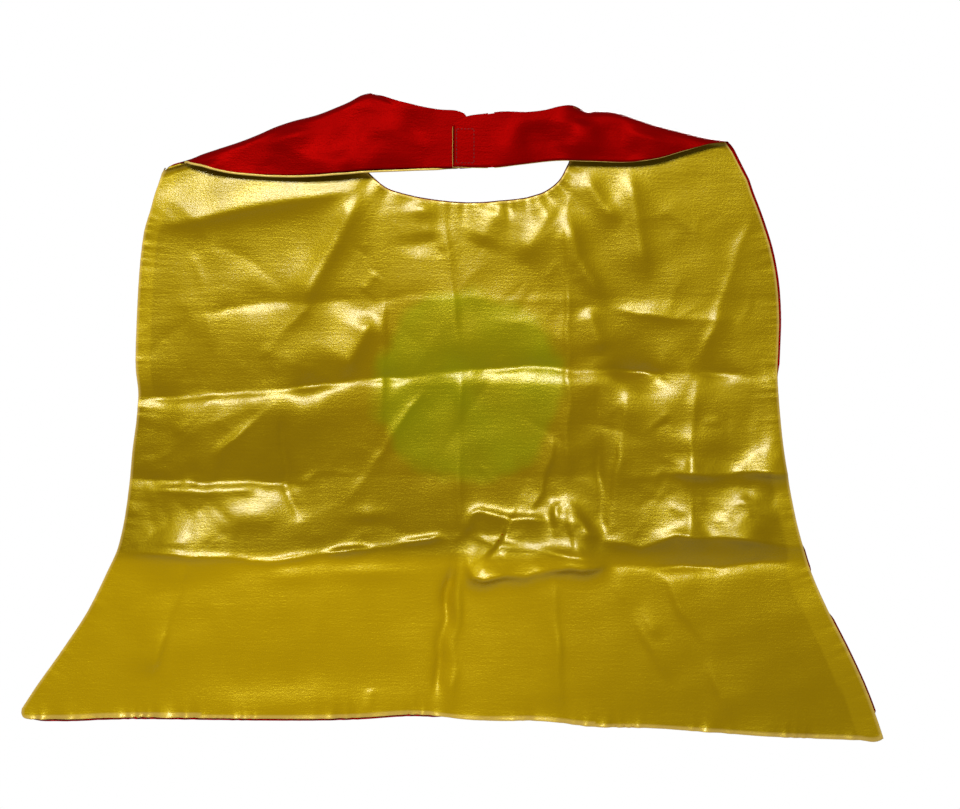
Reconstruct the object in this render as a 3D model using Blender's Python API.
"""A child's superhero cape as it hangs from its shoulder folds: a satin shell over a satin lining, two neck
bands that fold forward and close with hook and loop at the throat, and a round star emblem on the back.

X runs along the shoulders, +Z is up, the lining of the back panel faces -Y and the shell faces +Y. The origin
is the middle of the neck, level with the seat of the shoulder folds. Every sheet of cloth is laid out as an
outline in XZ, given its depth by a drape formula, and then thickened.
"""

import math

import bmesh
import bpy
import numpy as np
from mathutils import Vector

# Driving dimensions, in metres.
CLOTH = 0.0007                       # one satin layer
LAYER_GAP = 0.0005                   # air between lining and shell
FOLD_RADIUS = 0.004                  # inside of a shoulder fold
JOINT_GAP = 0.0005                   # clearance of cloth to each joint line
SHELL_START = CLOTH + LAYER_GAP      # depth of the shell's inner face, counted from the lining's inner face
SHELL_END = SHELL_START + CLOTH
FACE_GAP = 0.0003                    # clearance of tape and thread to the cloth they are sewn on

# The shoulder folds' crests, from the shoulder's end to the neck.
LEFT_CREST = Vector((-0.2074, 0, -0.0469)), Vector((-0.0681, 0, 0.0053))
RIGHT_CREST = Vector((0.2006, 0, -0.0310)), Vector((0.0969, 0, -0.0091))
TIP_LENGTH = 0.044                   # over this length the cape's side edge crosses the crest
TIP_REACH = 0.5                      # share of the fold that is left at the shoulder's very end

YOKE_Z = -0.0860                     # the line that the back panel swings about
HEM_WAVE = 0.007                     # how far the hem waves in and out
HEM_FALL = 0.30                      # the drop below the yoke line over which that wave grows
WAVE_LENGTH = 0.30
WAVE_SHIFT = 0.02
PACKING_DEPTH = 0.003                # the slow ripple left by the packing folds
PACKING_PITCH = 0.26
PACKING_FALL = 0.08

# Outlines in XZ.
LEFT_SIDE = (-0.2280, -0.0610), (-0.2350, -0.0830), (-0.2445, -0.1590), (-0.2470, -0.2500), \
            (-0.2600, -0.3410), (-0.2910, -0.4010), (-0.3310, -0.4670)
RIGHT_SIDE = (0.2156, -0.0560), (0.2256, -0.0830), (0.2415, -0.1590), (0.2415, -0.2500), \
             (0.2550, -0.3260), (0.2850, -0.4010), (0.3195, -0.4830)
HEM = (-0.3310, -0.4670), (-0.1500, -0.4660), (-0.0150, -0.4660), (0.0980, -0.4730), (0.3195, -0.4830)
NECK = (-0.0710, -0.0545), (-0.0380, -0.0727), (0.0136, -0.0780), (0.0640, -0.0700), (0.0830, -0.0480)
LEFT_BAND_TOP = (-0.0600, 0.0010), (-0.0490, -0.0012), (-0.0265, -0.0068), (0.0151, -0.0110)
LEFT_BAND_LOW = (-0.1900, -0.0530), (-0.1514, -0.0575), (-0.0710, -0.0550), (0.0151, -0.0515)
RIGHT_BAND_TOP = (-0.0053, -0.0180), (0.0189, -0.0125), (0.0530, -0.0106), (0.0860, -0.0080)
RIGHT_BAND_LOW = (-0.0053, -0.0515), (0.0300, -0.0515), (0.0757, -0.0465), (0.1440, -0.0454), \
                 (0.1790, -0.0370)
PEEL_X = 0.0189                      # the line that the right band's end peels about
END_MIDDLE_X = 0.0070
OVERLAP_START, OVERLAP_LENGTH = 0.0940, 0.0640    # where the right band comes forward over the left one

TAPE = 0.0165, 0.0290                # hook and loop tape, wide and high
TAPE_CENTRE = 0.0040, -0.0358
TAPE_THICKNESS = 0.0010
TAPE_CORNER = 0.0015
THREAD = 0.0006
STITCH_INSET = 0.0016                # from the tape's edge to the thread, as a presser foot runs
LEFT_END_DEPTH = -FOLD_RADIUS        # y of the left band's lining at the throat
RIGHT_END_DEPTH = LEFT_END_DEPTH - SHELL_END - 2 * TAPE_THICKNESS - 3 * FACE_GAP

EMBLEM_CENTRE = 0.0061, -0.2157
EMBLEM_RADIUS = 0.074
EMBLEM_THICKNESS = 0.0008
EMBLEM_GAP = 0.0006                  # covers the facets of two curved sheets
STAR_RADIUS = 0.058


def smooth(t):
    t = min(max(t, 0.0), 1.0)
    return t * t * (3 - 2 * t)


def through(points, count):
    """count points along a smooth curve through the given ones, evenly spread by length."""
    p = np.array(points, float)
    knots = np.concatenate([[0], np.cumsum(np.linalg.norm(np.diff(p, axis=0), axis=1))])
    slopes = np.gradient(p, knots, axis=0)
    out = []
    for t in np.linspace(0, knots[-1], count):
        i = min(max(np.searchsorted(knots, t) - 1, 0), len(p) - 2)
        h = knots[i + 1] - knots[i]
        s = (t - knots[i]) / h
        out.append(
            p[i] * (1 + 2 * s) * (1 - s) ** 2 + p[i + 1] * s * s * (3 - 2 * s)
            + h * slopes[i] * s * (1 - s) ** 2 - h * slopes[i + 1] * s * s * (1 - s)
        )
    return np.array(out)


def straight(start, end, count):
    return np.linspace(start, end, count)


def patch(low, high, left, right):
    """A grid of XZ points that fits its four border curves. Rows run from low to high."""
    rows, columns = len(left), len(low)
    u = np.linspace(0, 1, columns)[None, :, None]
    v = np.linspace(0, 1, rows)[:, None, None]
    sides = (1 - u) * left[:, None] + u * right[:, None]
    ends = (1 - v) * low[None] + v * high[None]
    corners = (1 - v) * ((1 - u) * low[0] + u * low[-1]) + v * ((1 - u) * high[0] + u * high[-1])
    return sides + ends - corners


def material(name, colour, roughness):
    made = bpy.data.materials.new(name)
    made.use_nodes = True
    shader = made.node_tree.nodes["Principled BSDF"]
    shader.inputs["Base Color"].default_value = (*colour, 1)
    shader.inputs["Roughness"].default_value = roughness
    made.diffuse_color = (*colour, 1)
    return made


def cloth_sheet(name, look, grids, thickness, origin=Vector((0, 0, 0)), outward=(0, 1, 0)):
    """A closed sheet from grids of mid-surface points. Grids that share a border are joined there."""
    mesh = bmesh.new()
    for grid in grids:
        points = [[mesh.verts.new(Vector(p) - origin) for p in row] for row in grid]
        for low, high in zip(points, points[1:]):
            for a, b, c, d in zip(low, low[1:], high[1:], high):
                mesh.faces.new((a, b, c, d))
    bmesh.ops.remove_doubles(mesh, verts=mesh.verts, dist=0.00005)
    bmesh.ops.recalc_face_normals(mesh, faces=mesh.faces)
    mesh.faces.ensure_lookup_table()
    if mesh.faces[0].normal.dot(Vector(outward)) < 0:
        bmesh.ops.reverse_faces(mesh, faces=mesh.faces)
    data = bpy.data.meshes.new(name)
    mesh.to_mesh(data)
    mesh.free()
    data.materials.append(look)
    data.shade_smooth()
    data.set_sharp_from_angle(angle=math.radians(40))
    sheet = bpy.data.objects.new(name, data)
    sheet.location = origin
    bpy.context.scene.collection.objects.link(sheet)
    wall = sheet.modifiers.new("cloth thickness", "SOLIDIFY")
    wall.thickness = thickness
    wall.offset = 0
    return sheet


def hang(child, parent):
    child.parent = parent
    child.matrix_parent_inverse = parent.matrix_world.inverted()
    return child


def pivot(name, place):
    empty = bpy.data.objects.new(name, None)
    empty.location = place
    empty.empty_display_size = 0.02
    bpy.context.scene.collection.objects.link(empty)
    bpy.context.view_layer.update()
    return empty


# --- Drape --------------------------------------------------------------------------------------------------

def back_depth(x, z, depth):
    """y of the back at a place, depth metres outward of the lining's inner face."""
    fall = smooth((YOKE_Z - z) / HEM_FALL)
    wave = HEM_WAVE * fall * math.cos(2 * math.pi * (x + WAVE_SHIFT) / WAVE_LENGTH)
    ripple = math.sin(2 * math.pi * (z - YOKE_Z) / PACKING_PITCH)
    packing = PACKING_DEPTH * smooth((YOKE_Z - z) / PACKING_FALL) * ripple
    return FOLD_RADIUS + wave + packing + depth


def left_band_depth(x, z, depth):
    return LEFT_END_DEPTH - depth


def right_band_depth(x, z, depth):
    """The right band comes forward to pass over the left one at the throat."""
    over = smooth((OVERLAP_START - x) / OVERLAP_LENGTH)
    return -FOLD_RADIUS * (1 - over) + RIGHT_END_DEPTH * over - depth


def hung(grid, drape, depth):
    return [[(x, drape(x, z, depth), z) for x, z in row] for row in grid]


# --- Shoulder folds -----------------------------------------------------------------------------------------

def crest_up(crest):
    """The direction in XZ that is square to a crest and points out of it."""
    along = (crest[1] - crest[0]).normalized()
    up = Vector((-along.z, 0, along.x))
    return up if up.z > 0 else -up


def fold_line(crest, count):
    """The line in XZ where the fold starts at the back and ends at the front: a band hinges on it."""
    drop = crest_up(crest) * (FOLD_RADIUS + SHELL_END)
    start, end = crest[0] - drop, crest[1] - drop
    return straight((start.x, start.z), (end.x, end.z), count)


FOLD_ANGLES = 0, 32, 60, 120, 148, 180     # the flat between 60 and 120 degrees is the hanger's seat


def fold_grid(crest, line, depth):
    """Cross-sections over the crest. Near the shoulder's end they stop short, as the side edge crosses."""
    up = crest_up(crest)
    radius = FOLD_RADIUS + depth
    length = (crest[1] - crest[0]).length
    rows = []
    for angle in FOLD_ANGLES:
        row = []
        for i, (x, z) in enumerate(line):
            reach = TIP_REACH + (1 - TIP_REACH) * smooth(length * i / (len(line) - 1) / TIP_LENGTH)
            turn = math.radians(angle * reach)
            place = Vector((x, radius * math.cos(turn), z)) + up * radius * math.sin(turn)
            row.append(tuple(place))
        rows.append(row)
    return rows


# --- Shoulders and back panel -------------------------------------------------------------------------------

SIDE_COLUMNS, NECK_COLUMNS, YOKE_ROWS, BACK_ROWS = 8, 7, 2, 14


def side_point(side, z):
    """The side edge's x at a height."""
    p = through(side, 200)
    return float(np.interp(-z, -p[:, 1], p[:, 0]))


def yoke_top():
    """From the left side along the foot of the left fold, round the neck, to the right side."""
    left = straight(LEFT_SIDE[0], NECK[0], SIDE_COLUMNS)
    right = straight(NECK[-1], RIGHT_SIDE[0], SIDE_COLUMNS)
    return np.concatenate([left, through(NECK, NECK_COLUMNS)[1:-1], right])


def yoke_grids(depth):
    top = yoke_top()
    z = YOKE_Z + JOINT_GAP
    low = straight((side_point(LEFT_SIDE, z), z), (side_point(RIGHT_SIDE, z), z), len(top))
    left = straight(low[0], top[0], YOKE_ROWS)
    right = straight(low[-1], top[-1], YOKE_ROWS)
    grids = [hung(patch(low, top, left, right), back_depth, depth)]
    for crest, foot in (LEFT_CREST, top[:SIDE_COLUMNS]), (RIGHT_CREST, top[-SIDE_COLUMNS:][::-1]):
        line = fold_line(crest, SIDE_COLUMNS)
        grids.append(hung(np.stack([foot, (foot + line) / 2, line]), back_depth, depth))
        grids.append(fold_grid(crest, line, depth))
    return grids


def back_grid():
    z = YOKE_Z - JOINT_GAP
    columns = len(yoke_top()) + 2
    high = straight((side_point(LEFT_SIDE, z), z), (side_point(RIGHT_SIDE, z), z), columns)
    sides = []
    for side in LEFT_SIDE, RIGHT_SIDE:
        below = [(side_point(side, z), z)] + [p for p in side if p[1] < z - 0.01]
        sides.append(through(below, BACK_ROWS)[::-1])
    return patch(through(HEM, columns), high, *sides)


def make_back(root, panel, red, yellow):
    for name, depth, look in ("lining", CLOTH / 2, yellow), ("shell", SHELL_START + CLOTH / 2, red):
        hang(cloth_sheet("shoulder_" + name, look, yoke_grids(depth), CLOTH), root)
        hang(cloth_sheet("back_" + name, look, [hung(back_grid(), back_depth, depth)], CLOTH), panel)


# --- Emblem -------------------------------------------------------------------------------------------------

def emblem_sheet(name, look, radius_at, steps, rings, depth):
    """A round or star-shaped sheet that follows the back of the shell, as rings round its centre."""
    rows = []
    for share in np.linspace(0, 1, rings + 1):
        row = []
        for step in range(steps + 1):
            turn = 2 * math.pi * (step % steps) / steps
            reach = share * radius_at(step % steps)
            row.append((EMBLEM_CENTRE[0] + reach * math.sin(turn), EMBLEM_CENTRE[1] + reach * math.cos(turn)))
        rows.append(row)
    return cloth_sheet(name, look, [hung(rows, back_depth, depth)], EMBLEM_THICKNESS)


def make_emblem(panel, disc_look, star_look):
    depth = SHELL_END + EMBLEM_GAP + EMBLEM_THICKNESS / 2
    hang(emblem_sheet("emblem_disc", disc_look, lambda step: EMBLEM_RADIUS, 40, 5, depth), panel)
    depth += EMBLEM_THICKNESS + EMBLEM_GAP

    def star(step):
        """Ten corners, with one point halfway along each side."""
        inner = STAR_RADIUS * math.sin(math.radians(18)) / math.sin(math.radians(54))
        corner = STAR_RADIUS if step % 4 == 0 else inner
        if step % 2 == 0:
            return corner
        whole, half = math.radians(36), math.radians(18)
        return STAR_RADIUS * inner * math.sin(whole) / ((STAR_RADIUS + inner) * math.sin(half))

    hang(emblem_sheet("emblem_star", star_look, star, 20, 4, depth), panel)


# --- Neck bands ---------------------------------------------------------------------------------------------

def band_grid(low, high, count, rows=6):
    low, high = through(low, count), through(high, count) if len(high) > 2 else straight(*high, count)
    return patch(low, high, straight(low[0], high[0], rows), straight(low[-1], high[-1], rows))


def below(line, gap):
    """A line in XZ moved down by a gap."""
    return np.array(line) - (0, gap)


def make_left_band(lift, red, yellow):
    """Two grids side by side: one under the fold, one from the neck's corner to the throat."""
    line = below(fold_line(LEFT_CREST, 60), JOINT_GAP)
    outer, inner = line[np.searchsorted(line[:, 0], LEFT_BAND_LOW[0][0])], line[-1]
    low = through(LEFT_BAND_LOW, 60)
    split = np.searchsorted(low[:, 0], inner[0])
    under = band_grid(low[:split + 1:6], (outer, inner), 9)
    front = band_grid(low[split::6], [inner, *LEFT_BAND_TOP], 8)
    front[:, 0] = under[:, -1]
    for name, depth, look in ("lining", CLOTH / 2, yellow), ("shell", SHELL_START + CLOTH / 2, red):
        grids = [hung(grid, left_band_depth, depth) for grid in (under, front)]
        hang(cloth_sheet("left_band_" + name, look, grids, CLOTH, lift.location, (0, -1, 0)), lift)


def make_right_band(lift, peel, red, yellow):
    line = below(fold_line(RIGHT_CREST, 60)[::-1], JOINT_GAP)[::-1]
    inner = line[-1]
    outer = line[np.searchsorted(-line[:, 0], -RIGHT_BAND_LOW[-1][0])]
    low = through(RIGHT_BAND_LOW, 120)
    high = through([*RIGHT_BAND_TOP, inner], 60)
    cut = PEEL_X - JOINT_GAP, PEEL_X + JOINT_GAP
    split = np.searchsorted(low[:, 0], inner[0])
    ends = [np.searchsorted(curve[:, 0], PEEL_X) for curve in (low, high)]

    def at(curve, x):
        return x, float(np.interp(x, curve[:, 0], curve[:, 1]))

    across = RIGHT_BAND_LOW[0][0], END_MIDDLE_X, cut[0]
    end = band_grid([at(low, x) for x in across], [at(high, x) for x in across], 4)
    front = band_grid([at(low, cut[1]), *low[ends[0] + 6:split - 3:6], low[split]],
                      [at(high, cut[1]), *high[ends[1] + 4:-3:4], inner], 8)
    under = band_grid(low[split::6], (inner, outer), 8)
    under[:, 0] = front[:, -1]
    for name, depth, look in ("lining", CLOTH / 2, yellow), ("shell", SHELL_START + CLOTH / 2, red):
        grids = [hung(grid, right_band_depth, depth) for grid in (front, under)]
        hang(cloth_sheet("right_band_" + name, look, grids, CLOTH, lift.location, (0, -1, 0)), lift)
        grids = [hung(end, right_band_depth, depth)]
        hang(cloth_sheet("right_end_" + name, look, grids, CLOTH, peel.location, (0, -1, 0)), peel)


# --- Closure ------------------------------------------------------------------------------------------------

def tape(name, look, parent, y):
    """A flat rectangle of tape with eased corners, its middle at depth y."""
    bpy.ops.mesh.primitive_cube_add(size=1, location=(TAPE_CENTRE[0], y, TAPE_CENTRE[1]))
    made = bpy.context.object
    made.name = made.data.name = name
    made.scale = TAPE[0], TAPE_THICKNESS, TAPE[1]
    bpy.ops.object.transform_apply(location=False, rotation=False, scale=True)
    corners = bmesh.new()
    corners.from_mesh(made.data)
    upright = [e for e in corners.edges if abs(e.verts[0].co.y - e.verts[1].co.y) > TAPE_THICKNESS / 2]
    bmesh.ops.bevel(corners, geom=upright, offset=TAPE_CORNER, segments=3, affect="EDGES", profile=0.5)
    corners.to_mesh(made.data)
    corners.free()
    made.data.materials.append(look)
    return hang(made, parent)


def box_stitch(name, look, parent, y):
    """A rectangle of sewing thread inside the tape's edge."""
    wide, high = TAPE[0] / 2 - STITCH_INSET, TAPE[1] / 2 - STITCH_INSET
    ring = bmesh.new()
    loops = []
    for out, dy in (0.5, -0.5), (0.5, 0.5), (-0.5, 0.5), (-0.5, -0.5):
        w, h = wide + out * THREAD, high + out * THREAD
        loops.append([ring.verts.new((x, dy * THREAD, z)) for x, z in ((-w, -h), (w, -h), (w, h), (-w, h))])
    for first, second in zip(loops, loops[1:] + loops[:1]):
        for i in range(4):
            ring.faces.new((first[i], first[(i + 1) % 4], second[(i + 1) % 4], second[i]))
    bmesh.ops.recalc_face_normals(ring, faces=ring.faces)
    data = bpy.data.meshes.new(name)
    ring.to_mesh(data)
    ring.free()
    data.materials.append(look)
    made = bpy.data.objects.new(name, data)
    made.location = TAPE_CENTRE[0], y, TAPE_CENTRE[1]
    bpy.context.scene.collection.objects.link(made)
    bpy.context.view_layer.update()
    return hang(made, parent)


def make_closure(left, end, tape_look, thread_look):
    """The loop tape faces forward on the left band, and the hook tape lies on it behind the right end."""
    shell_face = LEFT_END_DEPTH - SHELL_END
    loop_y = shell_face - FACE_GAP - TAPE_THICKNESS / 2
    hook_y = loop_y - TAPE_THICKNESS - FACE_GAP
    tape("loop_tape", tape_look, left, loop_y)
    tape("hook_tape", tape_look, end, hook_y)
    box_stitch("loop_tape_stitching", thread_look, left, LEFT_END_DEPTH + FACE_GAP + THREAD / 2)
    box_stitch("hook_tape_stitching", thread_look, end,
               RIGHT_END_DEPTH - SHELL_END - FACE_GAP - THREAD / 2)


def main():
    for old in list(bpy.data.objects):
        bpy.data.objects.remove(old)
    red = material("red_satin", (0.36, 0.002, 0.004), 0.38)
    yellow = material("yellow_satin", (0.46, 0.30, 0.01), 0.36)
    green = material("emblem_green", (0.05, 0.26, 0.16), 0.7)
    star = material("emblem_yellow", (0.80, 0.55, 0.05), 0.7)
    tape_look = material("tape_red", (0.20, 0.005, 0.008), 0.9)
    thread = material("thread_red", (0.28, 0.004, 0.006), 0.6)

    front = -FOLD_RADIUS - SHELL_END
    left_line, right_line = fold_line(LEFT_CREST, 2), fold_line(RIGHT_CREST, 2)
    root = pivot("neck", (0, 0, 0))
    panel = pivot("back_panel_swing", (0, FOLD_RADIUS + SHELL_END, YOKE_Z))
    left = pivot("left_band_lift", (left_line[1][0], front, left_line[1][1]))
    right = pivot("right_band_lift", (right_line[1][0], front, right_line[1][1]))
    peel = pivot("closure_peel", (PEEL_X, RIGHT_END_DEPTH - SHELL_END, TAPE_CENTRE[1]))
    for empty, parent in (panel, root), (left, root), (right, root), (peel, right):
        hang(empty, parent)

    make_back(root, panel, red, yellow)
    make_emblem(panel, green, star)
    make_left_band(left, red, yellow)
    make_right_band(right, peel, red, yellow)
    make_closure(left, peel, tape_look, thread)


main()
